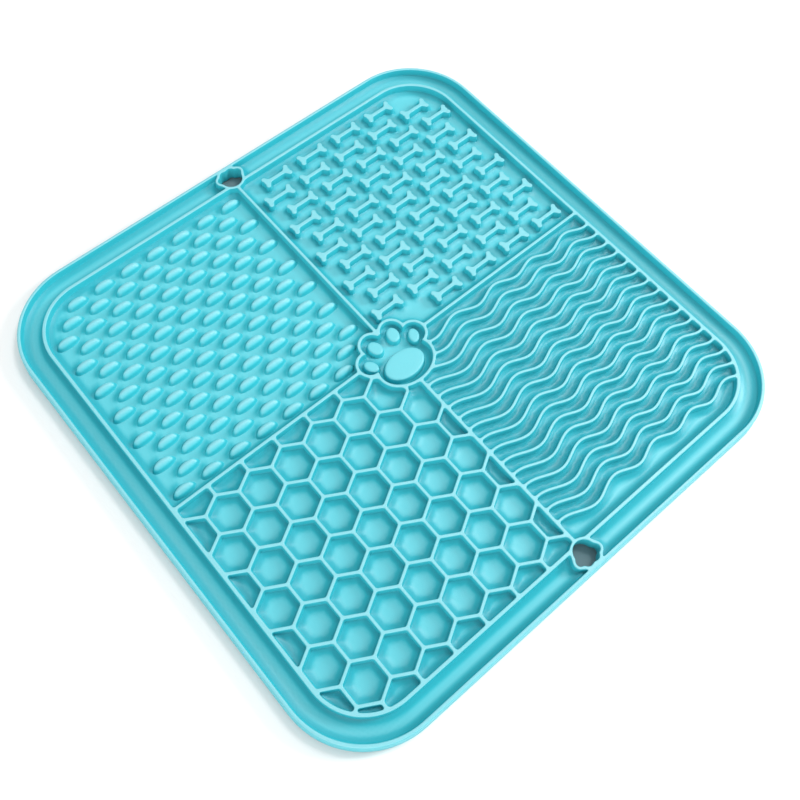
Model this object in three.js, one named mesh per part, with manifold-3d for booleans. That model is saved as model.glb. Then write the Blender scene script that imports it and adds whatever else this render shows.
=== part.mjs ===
// A square lick mat for pets, moulded in one piece of silicone and lying flat, face up.
// Units are millimetres and +Z is up. The origin is the middle of the underside.
// +Y points to one hanging hole and -Y to the other, so the four fields are the
// quadrants: low bumps (-X, +Y), bones (+X, +Y), honeycomb (-X, -Y), waves (+X, -Y).

import * as THREE from "three";
import { ConvexGeometry } from "three/addons/geometries/ConvexGeometry.js";
import { mergeVertices } from "three/addons/utils/BufferGeometryUtils.js";
import Module from "manifold-3d";

const wasm = await Module();
wasm.setup();

// Driving dimensions of the tray
const HALF_SIDE = 100;        // outer edge at the underside
const SIDE_DRAFT = 0.5;       // the outer side leans in by this much at its top
const CORNER_CENTRE = 70.85;  // every rounded corner is struck from here
const CORNER_STEPS = 6;
const FLOOR_TOP = 2.2;
const WALL_TOP = 5.6;
const WALL_ROOT = 1.2;        // relief starts inside the floor, so that it fuses with it
const CUT_TOP = 7;            // recesses are cut from above the walls

// Walls, by the half side of the square they follow
const RIM_INNER = 98.1;
const FRAME_LINE = 90.35;
const FRAME_WALL = 1.4;
const DIVIDER_WALL = 1.3;

// Honeycomb
const CELL_PITCH = 12.93;
const CELL_WALL = 1.3;
const CELL_ORIGIN = [-51.2, -34.15];
const CELL_ROWS = [-6, 4];
const CELL_COLUMNS = [-4, 5];
// Under the paw one cell wall is left out, between these corners
const CELL_GAP = [[-5.95, -16.3], [-0.3, -20.1], [-0.3, -13.0], [-5.2, -15.0]];

// Waves: the turning points of the first crest line, repeated down the field
const WAVE_TURNS = [
  { x: -10.0, y: -1.3 },
  { x: 1.8, y: 2.1 },
  { x: 14.6, y: -1.5 },
  { x: 25.8, y: 1.55 },
  { x: 35.3, y: -1.2 },
  { x: 45.0, y: 1.45 },
  { x: 53.8, y: -1.1 },
  { x: 62.7, y: 1.05 },
  { x: 70.6, y: -1.45 },
  { x: 80.0, y: 1.05 },
  { x: 88.4, y: -1.45 },
  { x: 98.0, y: 1.2 },
];
const WAVE_COUNT = 16;
const WAVE_FIRST = -5.05;
const WAVE_PITCH = 5.2;
const WAVE_WALL = 1.0;
const WAVE_PARTS = [0.18, 0.82];  // corner points of a crest line between two turning points

// Bones: rows along X, every second row shifted
const BONE_TOP = 5.2;
const BONE_FIRST = [14.4, 83.8];
const BONE_PITCH = [16.63, 7.77];
const BONE_SHIFT = -4.5;
const BONE_ROWS = 11;
const BONES_A_ROW = 5;
const BONE_SHANK = { x: 3.1, y: 0.72 };
const BONE_SHOULDER = { x: 4.6, y: 2.7 };
const BONE_TIP = { x: 6.15, y: 2.05 };
const BONE_NOTCH = 5.5;

// Bumps: low domes with a flatter front edge, every second row shifted by half a pitch
const BUMP_TOP = 3.9;
const BUMP_FIRST = [-83.9, 85.15];
const BUMP_PITCH = [10.98, 5.765];
const BUMP_ROWS = 15;
const BUMPS_A_ROW = 8;
const BUMP_HALF = { length: 4.15, back: 2.4, front: 1.6 };
const BUMP_RIDGE = 1.9;
const BUMP_SIDES = 8;

// Paw in the middle: its wall follows the edge of these overlapping rounds
const PAW_WALL = 1.3;
const PAW_ROUNDS = [
  { x: -4.2, y: 5.2, rx: 4.6, ry: 4.6, sides: 16 },
  { x: 4.5, y: 5.2, rx: 4.6, ry: 4.6, sides: 16 },
  { x: -9.75, y: 0.1, rx: 4.6, ry: 4.6, sides: 16 },
  { x: 10.05, y: 0.1, rx: 4.6, ry: 4.6, sides: 16 },
  { x: 0.15, y: -6.7, rx: 10.95, ry: 8.75, sides: 24 },
  { x: 0.15, y: 0.8, rx: 9.0, ry: 6.4, sides: 20 },
];
const PAD_TOP = 4.6;
const PAD_DRAFT = 0.45;
const PAW_PADS = [
  { x: 0.15, y: -6.9, rx: 7.6, ry: 5.0, turn: 0, sides: 16 },
  { x: -4.0, y: 4.1, rx: 2.15, ry: 2.95, turn: 16, sides: 10 },
  { x: 4.3, y: 4.1, rx: 2.15, ry: 2.95, turn: -16, sides: 10 },
  { x: -9.55, y: -0.65, rx: 1.95, ry: 2.8, turn: 23, sides: 10 },
  { x: 9.85, y: -0.65, rx: 1.95, ry: 2.8, turn: -23, sides: 10 },
];

// Hanging holes: small paws with their toes to the rim, struck about the middle of a side
const HOLE_WALL = 1.1;
const HOLE_ROUNDS = [
  { x: 0, y: 93.4, r: 4.45, sides: 24 },
  { x: -3.3, y: 94.9, r: 2.05, sides: 14 },
  { x: 3.3, y: 94.9, r: 2.05, sides: 14 },
  { x: -1.5, y: 96.3, r: 1.9, sides: 14 },
  { x: 1.5, y: 96.3, r: 1.9, sides: 14 },
];

function toSolid(geometry) {
  const bare = new THREE.BufferGeometry();
  bare.setAttribute("position", geometry.getAttribute("position"));
  if (geometry.index) bare.setIndex(geometry.index);
  const merged = mergeVertices(bare, 1e-4);
  const mesh = new wasm.Mesh({
    numProp: 3,
    vertProperties: new Float32Array(merged.getAttribute("position").array),
    triVerts: new Uint32Array(merged.index.array),
  });
  return new wasm.Manifold(mesh);
}

function prism(points, low, high) {
  const shape = new THREE.Shape(points.map(([x, y]) => new THREE.Vector2(x, y)));
  const geometry = new THREE.ExtrudeGeometry(shape, { depth: high - low, bevelEnabled: false });
  geometry.translate(0, 0, low);
  return toSolid(geometry);
}

function join(solids) {
  return solids.reduce((whole, solid) => whole.add(solid));
}

function roundedSquare(halfSide) {
  const radius = halfSide - CORNER_CENTRE;
  const points = [];
  for (let corner = 0; corner < 4; corner += 1) {
    for (let step = 0; step <= CORNER_STEPS; step += 1) {
      const angle = (Math.PI / 2) * (corner + step / CORNER_STEPS);
      const cx = corner === 0 || corner === 3 ? CORNER_CENTRE : -CORNER_CENTRE;
      const cy = corner < 2 ? CORNER_CENTRE : -CORNER_CENTRE;
      points.push([cx + radius * Math.cos(angle), cy + radius * Math.sin(angle)]);
    }
  }
  return points;
}

function ellipse({ x, y, rx, ry, turn = 0 }, grow, steps) {
  const tilt = THREE.MathUtils.degToRad(turn);
  const points = [];
  for (let step = 0; step < steps; step += 1) {
    const angle = (2 * Math.PI * step) / steps;
    const u = (rx + grow) * Math.cos(angle);
    const v = (ry + grow) * Math.sin(angle);
    points.push([x + u * Math.cos(tilt) - v * Math.sin(tilt), y + u * Math.sin(tilt) + v * Math.cos(tilt)]);
  }
  return points;
}

// A convex block between an outline low down and another higher up
function taper(lowPoints, low, highPoints, high) {
  const corners = [
    ...lowPoints.map(([x, y]) => new THREE.Vector3(x, y, low)),
    ...highPoints.map(([x, y]) => new THREE.Vector3(x, y, high)),
  ];
  return toSolid(new ConvexGeometry(corners));
}

function rectangle(x0, x1, y0, y1) {
  return [[x0, y0], [x1, y0], [x1, y1], [x0, y1]];
}

// The field of one quadrant, up to the middle of the frame wall
function quadrant(signX, signY, low, high) {
  const reach = FRAME_LINE + FRAME_WALL;
  const box = rectangle(Math.min(0, signX * reach), Math.max(0, signX * reach),
    Math.min(0, signY * reach), Math.max(0, signY * reach));
  return prism(roundedSquare(FRAME_LINE), low, high).intersect(prism(box, low - 1, high + 1));
}

function tray() {
  const outside = taper(roundedSquare(HALF_SIDE), 0, roundedSquare(HALF_SIDE - SIDE_DRAFT), WALL_TOP);
  return outside.subtract(prism(roundedSquare(RIM_INNER), FLOOR_TOP, CUT_TOP));
}

function frameWall() {
  const outer = prism(roundedSquare(FRAME_LINE + FRAME_WALL / 2), WALL_ROOT, WALL_TOP);
  return outer.subtract(prism(roundedSquare(FRAME_LINE - FRAME_WALL / 2), 0, CUT_TOP));
}

function dividers() {
  const half = DIVIDER_WALL / 2;
  const along = prism(rectangle(-FRAME_LINE, FRAME_LINE, -half, half), WALL_ROOT, WALL_TOP);
  const across = prism(rectangle(-half, half, -FRAME_LINE, FRAME_LINE), WALL_ROOT, WALL_TOP);
  return along.add(across);
}

// The honeycomb is a block with every cell cut out of it
function honeycomb() {
  const rowPitch = CELL_PITCH * Math.sqrt(3) / 2;
  const cellRadius = (CELL_PITCH - CELL_WALL) / Math.sqrt(3);
  const cells = [];
  for (let row = CELL_ROWS[0]; row <= CELL_ROWS[1]; row += 1) {
    for (let column = CELL_COLUMNS[0]; column <= CELL_COLUMNS[1]; column += 1) {
      const x = CELL_ORIGIN[0] + (column + (Math.abs(row) % 2) / 2) * CELL_PITCH;
      const y = CELL_ORIGIN[1] + row * rowPitch;
      const corners = [];
      for (let corner = 0; corner < 6; corner += 1) {
        const angle = Math.PI / 6 + (corner * Math.PI) / 3;
        corners.push([x + cellRadius * Math.cos(angle), y + cellRadius * Math.sin(angle)]);
      }
      cells.push(prism(corners, 0, CUT_TOP));
    }
  }
  cells.push(prism(CELL_GAP, 0, CUT_TOP));
  return quadrant(-1, -1, WALL_ROOT, WALL_TOP).subtract(join(cells));
}

function waveLine() {
  const line = [];
  for (let turn = 0; turn + 1 < WAVE_TURNS.length; turn += 1) {
    const from = WAVE_TURNS[turn];
    const to = WAVE_TURNS[turn + 1];
    for (const part of WAVE_PARTS) {
      const ease = (1 - Math.cos(Math.PI * part)) / 2;
      line.push([from.x + (to.x - from.x) * part, from.y + (to.y - from.y) * ease]);
    }
  }
  return line;
}

function waves() {
  const line = waveLine();
  const upper = [];
  const lower = [];
  line.forEach(([x, y], index) => {
    const before = line[Math.max(0, index - 1)];
    const after = line[Math.min(line.length - 1, index + 1)];
    const length = Math.hypot(after[0] - before[0], after[1] - before[1]);
    const normal = [-(after[1] - before[1]) / length, (after[0] - before[0]) / length];
    upper.push([x + (normal[0] * WAVE_WALL) / 2, y + (normal[1] * WAVE_WALL) / 2]);
    lower.push([x - (normal[0] * WAVE_WALL) / 2, y - (normal[1] * WAVE_WALL) / 2]);
  });
  const ridges = [];
  for (let wave = 0; wave < WAVE_COUNT; wave += 1) {
    const shift = WAVE_FIRST - wave * WAVE_PITCH;
    const outline = [...lower, ...upper.slice().reverse()].map(([x, y]) => [x, y + shift]);
    ridges.push(prism(outline, WALL_ROOT, WALL_TOP));
  }
  return join(ridges).intersect(quadrant(1, -1, 0, CUT_TOP));
}

function boneOutline() {
  const quarter = [
    [BONE_SHANK.x, BONE_SHANK.y],
    [BONE_SHOULDER.x, BONE_SHOULDER.y],
    [BONE_TIP.x, BONE_TIP.y],
  ];
  const right = [
    ...quarter.map(([x, y]) => [x, -y]),
    [BONE_NOTCH, 0],
    ...quarter.slice().reverse(),
  ];
  return [...right, ...right.map(([x, y]) => [-x, -y])];
}

function bones() {
  const outline = boneOutline();
  const solids = [];
  for (let row = 0; row < BONE_ROWS; row += 1) {
    for (let column = 0; column < BONES_A_ROW; column += 1) {
      const roundCorner = row === 0 && column === BONES_A_ROW - 1;
      const underPaw = row === BONE_ROWS - 1 && column === 0;
      if (roundCorner || underPaw) continue;
      const x = BONE_FIRST[0] + column * BONE_PITCH[0] + (row % 2) * BONE_SHIFT;
      const y = BONE_FIRST[1] - row * BONE_PITCH[1];
      solids.push(prism(outline.map(([u, v]) => [x + u, y + v]), WALL_ROOT, BONE_TOP));
    }
  }
  return join(solids);
}

function bumps() {
  const { length, back, front } = BUMP_HALF;
  const around = ellipse({ x: 0, y: 0, rx: length, ry: 1 }, 0, BUMP_SIDES)
    .map(([u, v]) => [u, v * (v > 0 ? back : front)]);
  const solids = [];
  for (let row = 0; row < BUMP_ROWS; row += 1) {
    const shifted = row % 2 === 1;
    const count = shifted ? BUMPS_A_ROW - 1 : BUMPS_A_ROW;
    for (let column = 0; column < count; column += 1) {
      const roundCorner = row === 0 && column === 0;
      const underPaw = row === BUMP_ROWS - 1 && column === BUMPS_A_ROW - 1;
      if (roundCorner || underPaw) continue;
      const x = BUMP_FIRST[0] + (column + (shifted ? 0.5 : 0)) * BUMP_PITCH[0];
      const y = BUMP_FIRST[1] - row * BUMP_PITCH[1];
      const foot = around.map(([u, v]) => [x + u, y + v]);
      const ridge = [[x - BUMP_RIDGE, y], [x + BUMP_RIDGE, y]];
      const root = prism(foot, WALL_ROOT, FLOOR_TOP);
      solids.push(root.add(taper(foot, FLOOR_TOP, ridge, BUMP_TOP)));
    }
  }
  return join(solids);
}

function pawBlock(grow, low, high) {
  return join(PAW_ROUNDS.map((round) => prism(ellipse(round, grow, round.sides), low, high)));
}

function pawPads() {
  return join(PAW_PADS.map((pad) => {
    const foot = ellipse(pad, PAD_DRAFT, pad.sides);
    return taper(foot, WALL_ROOT, ellipse(pad, 0, pad.sides), PAD_TOP);
  }));
}

function holeBlock(side, grow, low, high) {
  return join(HOLE_ROUNDS.map(({ x, y, r, sides }) => {
    const round = { x, y: side * y, rx: r, ry: r };
    return prism(ellipse(round, grow, sides), low, high);
  }));
}

function lickMat() {
  let mat = join([tray(), frameWall(), dividers(), honeycomb(), waves(), bones(), bumps()]);
  mat = mat.add(pawBlock(PAW_WALL / 2, WALL_ROOT, WALL_TOP));
  mat = mat.subtract(pawBlock(-PAW_WALL / 2, FLOOR_TOP, CUT_TOP));
  mat = mat.add(pawPads());
  const within = prism(roundedSquare(HALF_SIDE - SIDE_DRAFT), 0, CUT_TOP);
  for (const side of [1, -1]) {
    mat = mat.add(holeBlock(side, HOLE_WALL / 2, WALL_ROOT, WALL_TOP).intersect(within));
    mat = mat.subtract(holeBlock(side, -HOLE_WALL / 2, -1, CUT_TOP));
  }
  return mat;
}

function toMesh(solid, name, material) {
  const { vertProperties, triVerts } = solid.getMesh();
  const geometry = new THREE.BufferGeometry();
  geometry.setAttribute("position", new THREE.BufferAttribute(new Float32Array(vertProperties), 3));
  geometry.setIndex(new THREE.BufferAttribute(new Uint32Array(triVerts), 1));
  geometry.computeVertexNormals();
  const mesh = new THREE.Mesh(geometry, material);
  mesh.name = name;
  return mesh;
}

const silicone = new THREE.MeshStandardMaterial({ color: 0x4fc9d8, roughness: 0.5, metalness: 0 });

const model = new THREE.Group();
model.add(toMesh(lickMat(), "mat", silicone));

export default model;
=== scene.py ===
"""A square silicone lick mat for pets, lying face up on a pale floor in soft daylight."""

import logging
import math
from collections import deque
from collections.abc import Callable, Iterable, Iterator, Sequence
from dataclasses import dataclass, field
from enum import Enum
from functools import reduce

import bpy
import numpy as np
from mathutils import Matrix, Vector
from mathutils.geometry import delaunay_2d_cdt


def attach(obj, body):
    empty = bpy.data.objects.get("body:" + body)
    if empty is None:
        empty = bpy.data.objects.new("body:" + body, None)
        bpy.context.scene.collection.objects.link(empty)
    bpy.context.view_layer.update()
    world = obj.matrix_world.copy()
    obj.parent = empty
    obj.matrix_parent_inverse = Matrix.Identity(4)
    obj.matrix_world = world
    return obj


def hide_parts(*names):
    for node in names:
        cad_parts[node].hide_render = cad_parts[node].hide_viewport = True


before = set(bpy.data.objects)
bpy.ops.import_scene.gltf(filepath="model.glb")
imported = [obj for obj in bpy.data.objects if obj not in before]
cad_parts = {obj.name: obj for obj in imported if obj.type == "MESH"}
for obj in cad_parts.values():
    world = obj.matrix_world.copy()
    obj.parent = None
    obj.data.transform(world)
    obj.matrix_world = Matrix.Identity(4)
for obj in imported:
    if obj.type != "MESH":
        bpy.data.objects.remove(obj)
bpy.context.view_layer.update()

LOG = logging.getLogger("lick_mat")
MM = 0.001              # the mat is worked out in millimetres and written in metres
FAR = 1000.0            # further than anything on the mat, in mm
LEAST_GAP = 1e-5
GRID_NUDGE = 0.0137     # keeps the lines of a distance map off the mat's straight edges, in mm
WHOLE_HULL = 0          # asks the triangulation for everything inside its convex hull

# Angles of a profile's normal, in degrees above sideways
UP = 90.0
UNDER = -45.0
DOWN = -90.0

# Painted light by height in mm: how much painted sheen and highlight pales the floor, bumps, pads, bones and
# walls, and how much painted shade deepens the colour where the floor rises beside a wall or a bone or behind
# a bump
SHADING_RAMP_TOP = 5.6
PAINTED_SHEEN_BY_HEIGHT = (
    (0.0, 0.0), (2.0, 0.32), (2.12, 0.26), (2.35, 0.0), (3.3, 0.0),
    (4.1, 0.75), (4.35, 0.5), (4.7, 0.42), (5.1, 0.7), (5.6, 0.82),
)
PAINTED_SHADE_BY_HEIGHT = ((0.0, 0.0), (2.06, 0.0), (2.3, 0.6), (2.5, 0.9), (2.9, 0.9), (3.6, 0.0))

Grid = np.ndarray
Place = tuple[float, float]             # X and Y in mm
Row = tuple[float, float, float]        # offset from an outline, height, and angle of the normal
Colour = tuple[float, float, float]
Given = float | tuple[float, ...] | bpy.types.NodeSocket


class Side(Enum):
    """The two sides of the mat that have a hanging hole."""

    BACK = 1.0
    FRONT = -1.0


class Face(Enum):
    """Which way a flat region of the skin looks."""

    UPWARD = 1.0
    DOWNWARD = -1.0


class Socket(Enum):
    """What a node group takes in or puts out."""

    VALUE = "NodeSocketFloat"
    COLOUR = "NodeSocketColor"
    VECTOR = "NodeSocketVector"


class Sum(Enum):
    """What a maths node does with its values."""

    PRODUCT = "MULTIPLY"
    QUOTIENT = "DIVIDE"
    PRODUCT_AND_MORE = "MULTIPLY_ADD"


class Curve(Enum):
    """How a share grows from none to all."""

    STRAIGHT = "LINEAR"
    SMOOTH = "SMOOTHSTEP"


def unit(vectors: np.ndarray) -> np.ndarray:
    """The same vectors, one a row, at a length of one."""
    return vectors / np.linalg.norm(vectors, axis=1, keepdims=True)


def soft_union(first: Grid, second: Grid, blend: float) -> Grid:
    """Join two distance maps with a small fillet where the shapes meet.

    Args:
        first: Distance to one shape, negative inside it.
        second: Distance to the other shape.
        blend: How near the two shapes start to run together, in mm.

    Returns:
        The distance to both shapes as one.
    """
    near = np.maximum(blend - np.abs(first - second), 0.0)
    return np.minimum(first, second) - near * near / (4.0 * blend)


def soft_union_of(shapes: Iterable[Grid], blend: float) -> Grid:
    """Join any number of distance maps with small fillets, one after the other.

    Args:
        shapes: Distance to each shape.
        blend: How near two shapes start to run together, in mm.

    Returns:
        The distance to all the shapes as one.
    """
    return reduce(lambda whole, shape: soft_union(whole, shape, blend), shapes)


def rounded_square_distance(x: Grid, y: Grid, half: float, radius: float) -> Grid:
    """Distance to the edge of a square with round corners.

    Args:
        x: Places along X, in mm.
        y: Places along Y, in mm.
        half: Half the side.
        radius: Corner radius.

    Returns:
        The distance, negative inside.
    """
    across = np.abs(x) - (half - radius)
    along = np.abs(y) - (half - radius)
    outside = np.hypot(np.maximum(across, 0.0), np.maximum(along, 0.0))
    return outside + np.minimum(np.maximum(across, along), 0.0) - radius


def ellipse_distance(x: Grid, y: Grid, centre: Place, half: Place) -> Grid:
    """Distance to an ellipse, exact for a circle and close to it near the edge.

    Args:
        x: Places along X, in mm.
        y: Places along Y, in mm.
        centre: Middle of the ellipse.
        half: Its half sizes along X and Y.

    Returns:
        The distance, negative inside.
    """
    across = (x - centre[0]) / half[0]
    along = (y - centre[1]) / half[1]
    reach = np.hypot(across, along) + LEAST_GAP
    slope = np.hypot(across / half[0], along / half[1]) + LEAST_GAP
    return reach * (reach - 1.0) / slope


def capsule_distance(x: Grid, y: Grid, start: Place, end: Place, radius: float) -> Grid:
    """Distance to a straight bar with round ends.

    Args:
        x: Places along X, in mm.
        y: Places along Y, in mm.
        start: One end of the bar's middle line.
        end: The other end.
        radius: Half the bar's width.

    Returns:
        The distance, negative inside.
    """
    run = (end[0] - start[0], end[1] - start[1])
    length = run[0] ** 2 + run[1] ** 2
    part = np.clip(((x - start[0]) * run[0] + (y - start[1]) * run[1]) / length, 0.0, 1.0)
    return np.hypot(x - start[0] - part * run[0], y - start[1] - part * run[1]) - radius


@dataclass
class Loop:
    """A closed outline, with the solid on its left, and the direction away from the solid at each point."""

    points: np.ndarray
    normals: np.ndarray

    def moved(self, x: float, y: float) -> "Loop":
        """The same outline somewhere else."""
        return Loop(self.points + np.array([x, y]), self.normals)

    def middle(self) -> np.ndarray:
        """The mean of the outline's points."""
        return self.points.mean(axis=0)


@dataclass
class DistanceMap:
    """A square grid of distances about the mat's middle, from which the walls' outlines are drawn."""

    reach: float = 100.63
    pitch: float = 0.2
    tolerance: float = 0.018    # how far a thinned outline may cut a corner
    longest: float = 6.0        # longest straight run that a thinned outline may have

    def axis(self) -> np.ndarray:
        """Grid places, the same on both axes."""
        count = int(2 * self.reach / self.pitch) + 1
        return -self.reach + self.pitch * np.arange(count) + GRID_NUDGE

    def grid(self) -> tuple[Grid, Grid]:
        """The X and Y of each grid point."""
        return np.meshgrid(self.axis(), self.axis())

    def loops(self, values: Grid) -> list[Loop]:
        """Draw the outlines where the distance is zero.

        Args:
            values: Distance at each grid point, negative inside the solid.

        Returns:
            The closed outlines, thinned to what their curvature needs.
        """
        gradient_y, gradient_x = np.gradient(values, self.pitch)
        loops = []
        for edges in self._chains(self._links(values)):
            points = self._crossings(values, edges)
            points = points[self._thinned(points)]
            normal = np.stack([self.sampled(gradient_x, points), self.sampled(gradient_y, points)], axis=1)
            normal /= np.linalg.norm(normal, axis=1, keepdims=True) + LEAST_GAP ** 2
            loops.append(Loop(points, normal))
        return loops

    def _links(self, values: Grid) -> dict[int, int]:
        """Find how the outlines run from grid edge to grid edge.

        Args:
            values: Distance at each grid point.

        Returns:
            The next grid edge after each that an outline passes. A grid point's number is doubled for the
            edge along X that starts there, and one more is the edge along Y.
        """
        inside = values < 0.0
        columns = values.shape[1]
        case = (inside[:-1, :-1] * 1 + inside[:-1, 1:] * 2 + inside[1:, 1:] * 4 + inside[1:, :-1] * 8)
        links: dict[int, int] = {}
        for number, steps in self._steps().items():
            row, column = np.nonzero(case == number)
            base = row * columns + column
            edge = {"B": 2 * base, "L": 2 * base + 1, "R": 2 * (base + 1) + 1, "T": 2 * (base + columns)}
            for start, end in steps:
                links.update(zip(edge[start].tolist(), edge[end].tolist()))
        return links

    @staticmethod
    def _steps() -> dict[int, tuple[tuple[str, str], ...]]:
        """Say how an outline crosses a grid cell, by which of its corners are inside.

        Returns:
            For each case the sides that it comes in and goes out by: bottom, left, right or top.
        """
        return {
            1: (("B", "L"),), 2: (("R", "B"),), 4: (("T", "R"),), 8: (("L", "T"),),
            3: (("R", "L"),), 6: (("T", "B"),), 12: (("L", "R"),), 9: (("B", "T"),),
            7: (("T", "L"),), 11: (("R", "T"),), 13: (("B", "R"),), 14: (("L", "B"),),
            5: (("B", "L"), ("T", "R")), 10: (("R", "B"), ("L", "T")),
        }

    @staticmethod
    def _chains(links: dict[int, int]) -> Iterator[np.ndarray]:
        """Follow the links until each outline closes.

        Args:
            links: The next grid edge after each, which are used up.

        Returns:
            The outlines, one after the other, each as its grid edges in order.
        """
        while links:
            first, here = links.popitem()
            chain = [first]
            while here != first:
                chain.append(here)
                here = links.pop(here)
            yield np.array(chain)

    def _crossings(self, values: Grid, edges: np.ndarray) -> np.ndarray:
        """Find where an outline cuts each grid edge that it passes.

        Args:
            values: Distance at each grid point.
            edges: The grid edges.

        Returns:
            The places, one a row.
        """
        columns = values.shape[1]
        base = edges // 2
        upright = edges % 2
        row = base // columns
        column = base % columns
        here = values[row, column]
        there = values[row + upright, column + 1 - upright]
        part = here / (here - there)
        x = self.axis()[column] + self.pitch * part * (1 - upright)
        y = self.axis()[row] + self.pitch * part * upright
        return np.stack([x, y], axis=1)

    def _thinned(self, points: np.ndarray) -> np.ndarray:
        """Pick the points of a closed outline that are needed to stay within the tolerance.

        Args:
            points: The outline.

        Returns:
            The numbers of the points to keep.
        """
        count = len(points)
        closed = np.vstack([points, points[:1]])
        far = int(np.argmax(np.linalg.norm(points - points[0], axis=1)))
        kept = {0, far}
        spans = [(0, far), (far, count)]
        while spans:
            start, end = spans.pop()
            if end - start < 2:
                continue
            run = closed[end] - closed[start]
            length = float(np.hypot(*run)) + LEAST_GAP
            offset = closed[start + 1:end] - closed[start]
            miss = np.abs(offset[:, 0] * run[1] - offset[:, 1] * run[0]) / length
            worst = int(np.argmax(miss))
            split = start + 1 + worst
            if miss[worst] < self.tolerance:
                if length < self.longest:
                    continue
                split = (start + end) // 2
            kept.add(split)
            spans += [(start, split), (split, end)]
        return np.array(sorted(kept))

    def sampled(self, values: Grid, points: np.ndarray) -> np.ndarray:
        """Look up values between the grid points.

        Args:
            values: Any value at each grid point.
            points: Where to look.

        Returns:
            The value at each of them.
        """
        u = (points[:, 0] - self.axis()[0]) / self.pitch
        v = (points[:, 1] - self.axis()[0]) / self.pitch
        column = u.astype(int)
        row = v.astype(int)
        u = u - column
        v = v - row
        low = values[row, column] * (1 - u) + values[row, column + 1] * u
        high = values[row + 1, column] * (1 - u) + values[row + 1, column + 1] * u
        return low * (1 - v) + high * v

    def window(self, place: Place, reach: float) -> tuple[slice, slice]:
        """Find the part of the grid that lies around a place.

        Args:
            place: The middle of the window.
            reach: How far it goes to each side, in mm.

        Returns:
            Its rows and its columns.
        """
        spans = []
        for here in (place[1], place[0]):
            start = (here - reach - self.axis()[0]) / self.pitch
            spans.append(slice(max(int(start), 0), max(int(start + 2 * reach / self.pitch) + 1, 0)))
        return spans[0], spans[1]

    def nearest(self, places: list[Place], reach: float, shape: Callable[[Grid, Grid], Grid]) -> Grid:
        """Measure the distance to the nearest of many like shapes over the whole map.

        Args:
            places: The middle of each.
            reach: How far from its middle a shape counts, in mm.
            shape: Distance to one shape, for places counted from its middle.

        Returns:
            The distance at each grid point.
        """
        x, y = self.grid()
        result = np.full_like(x, FAR)
        for place in places:
            part = self.window(place, reach)
            result[part] = np.minimum(result[part], shape(x[part] - place[0], y[part] - place[1]))
        return result


@dataclass
class Ground:
    """The floor as a height map that rises in a wide hollow curve towards every wall."""

    area: DistanceMap
    wall_distance: Grid
    floor: float                # height of the flat middle of a field
    rise: float                 # how much higher the floor is right beside a wall
    reach: float                # how far from the wall it gets flat
    under_wall: float = 1.3     # the curve's limit under a wall, where it is 1 at the wall's side
    blurs: int = 16             # how often the heights are smoothed
    spacing: float = 1.45       # between the floor's own points
    clear: float = 0.75         # how near a wall they may lie

    def __post_init__(self) -> None:
        """Work out the heights."""
        part = np.clip(1.0 - self.wall_distance / self.reach, 0.0, self.under_wall)
        heights = self.floor + self.rise * part * part
        for _ in range(self.blurs):
            for axis in (0, 1):
                heights = (np.roll(heights, 1, axis) + 2.0 * heights + np.roll(heights, -1, axis)) / 4.0
        self.heights: Grid = heights

    def at(self, points: np.ndarray) -> tuple[np.ndarray, np.ndarray]:
        """Look up the floor.

        Args:
            points: Where to look.

        Returns:
            The height and the normal at each of them.
        """
        step = self.area.pitch
        level = self.area.sampled(self.heights, points)
        ahead_x = self.area.sampled(self.heights, points + [step, 0.0])
        ahead_y = self.area.sampled(self.heights, points + [0.0, step])
        back_x = self.area.sampled(self.heights, points - [step, 0.0])
        back_y = self.area.sampled(self.heights, points - [0.0, step])
        twice = np.full(len(points), 2.0 * step)
        return level, unit(np.column_stack([back_x - ahead_x, back_y - ahead_y, twice]))

    def inner_points(self, half: float) -> np.ndarray:
        """Spread places all over the floor, in staggered rows that keep clear of the walls.

        Args:
            half: Half the side of the square that they lie in.

        Returns:
            The places, one a row.
        """
        lines = np.arange(-half, half, self.spacing)
        x, y = np.meshgrid(lines, lines)
        x = x + self.spacing / 2.0 * (np.arange(len(lines)) % 2)[:, None]
        points = np.column_stack([x.ravel(), y.ravel()])
        points = points[np.abs(points).max(axis=1) < half]
        return points[self.area.sampled(self.wall_distance, points) > self.clear]


@dataclass(frozen=True)
class Profile:
    """The section of a wall from its flat top to what it stands on."""

    top: float
    foot: float
    top_round: float = 0.3
    foot_round: float = 0.45
    bottom_round: float = 0.2
    draft: float = 0.08
    eased: float = 0.3          # how far a round edge stands back halfway round, as a part of it
    angles: tuple[float, ...] = (UP, 50.0, 4.0)
    foot_angles: tuple[float, ...] = (4.0, 34.0, 62.0)

    def upper_rows(self) -> list[Row]:
        """The section from the top to the upper end of the side.

        Returns:
            Its rows, from the top down.
        """
        rows = []
        for angle in self.angles:
            turn = math.radians(angle)
            offset = -self.draft - self.top_round * (1.0 - math.cos(turn))
            rows.append((offset, self.top - self.top_round * (1.0 - math.sin(turn)), angle))
        return rows

    def rows(self) -> list[Row]:
        """The section of a wall that stands on the floor.

        Returns:
            Its rows, from the top down.
        """
        rows = self.upper_rows()
        lowest = math.sin(math.radians(self.foot_angles[-1]))
        for angle in self.foot_angles:
            turn = math.radians(angle)
            offset = self.draft + self.foot_round * (1.0 - math.cos(turn))
            rows.append((offset, self.foot + self.foot_round * (lowest - math.sin(turn)), angle))
        return rows

    def through_rows(self) -> list[Row]:
        """The section of a wall that goes right down through the base.

        Returns:
            Its rows, from the top to the underside.
        """
        eased = self.bottom_round * self.eased
        return [
            *self.upper_rows(),
            (-self.draft, self.bottom_round, 0.0),
            (-self.draft - eased, eased, UNDER),
            (-self.draft - self.bottom_round, 0.0, DOWN),
        ]


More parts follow.
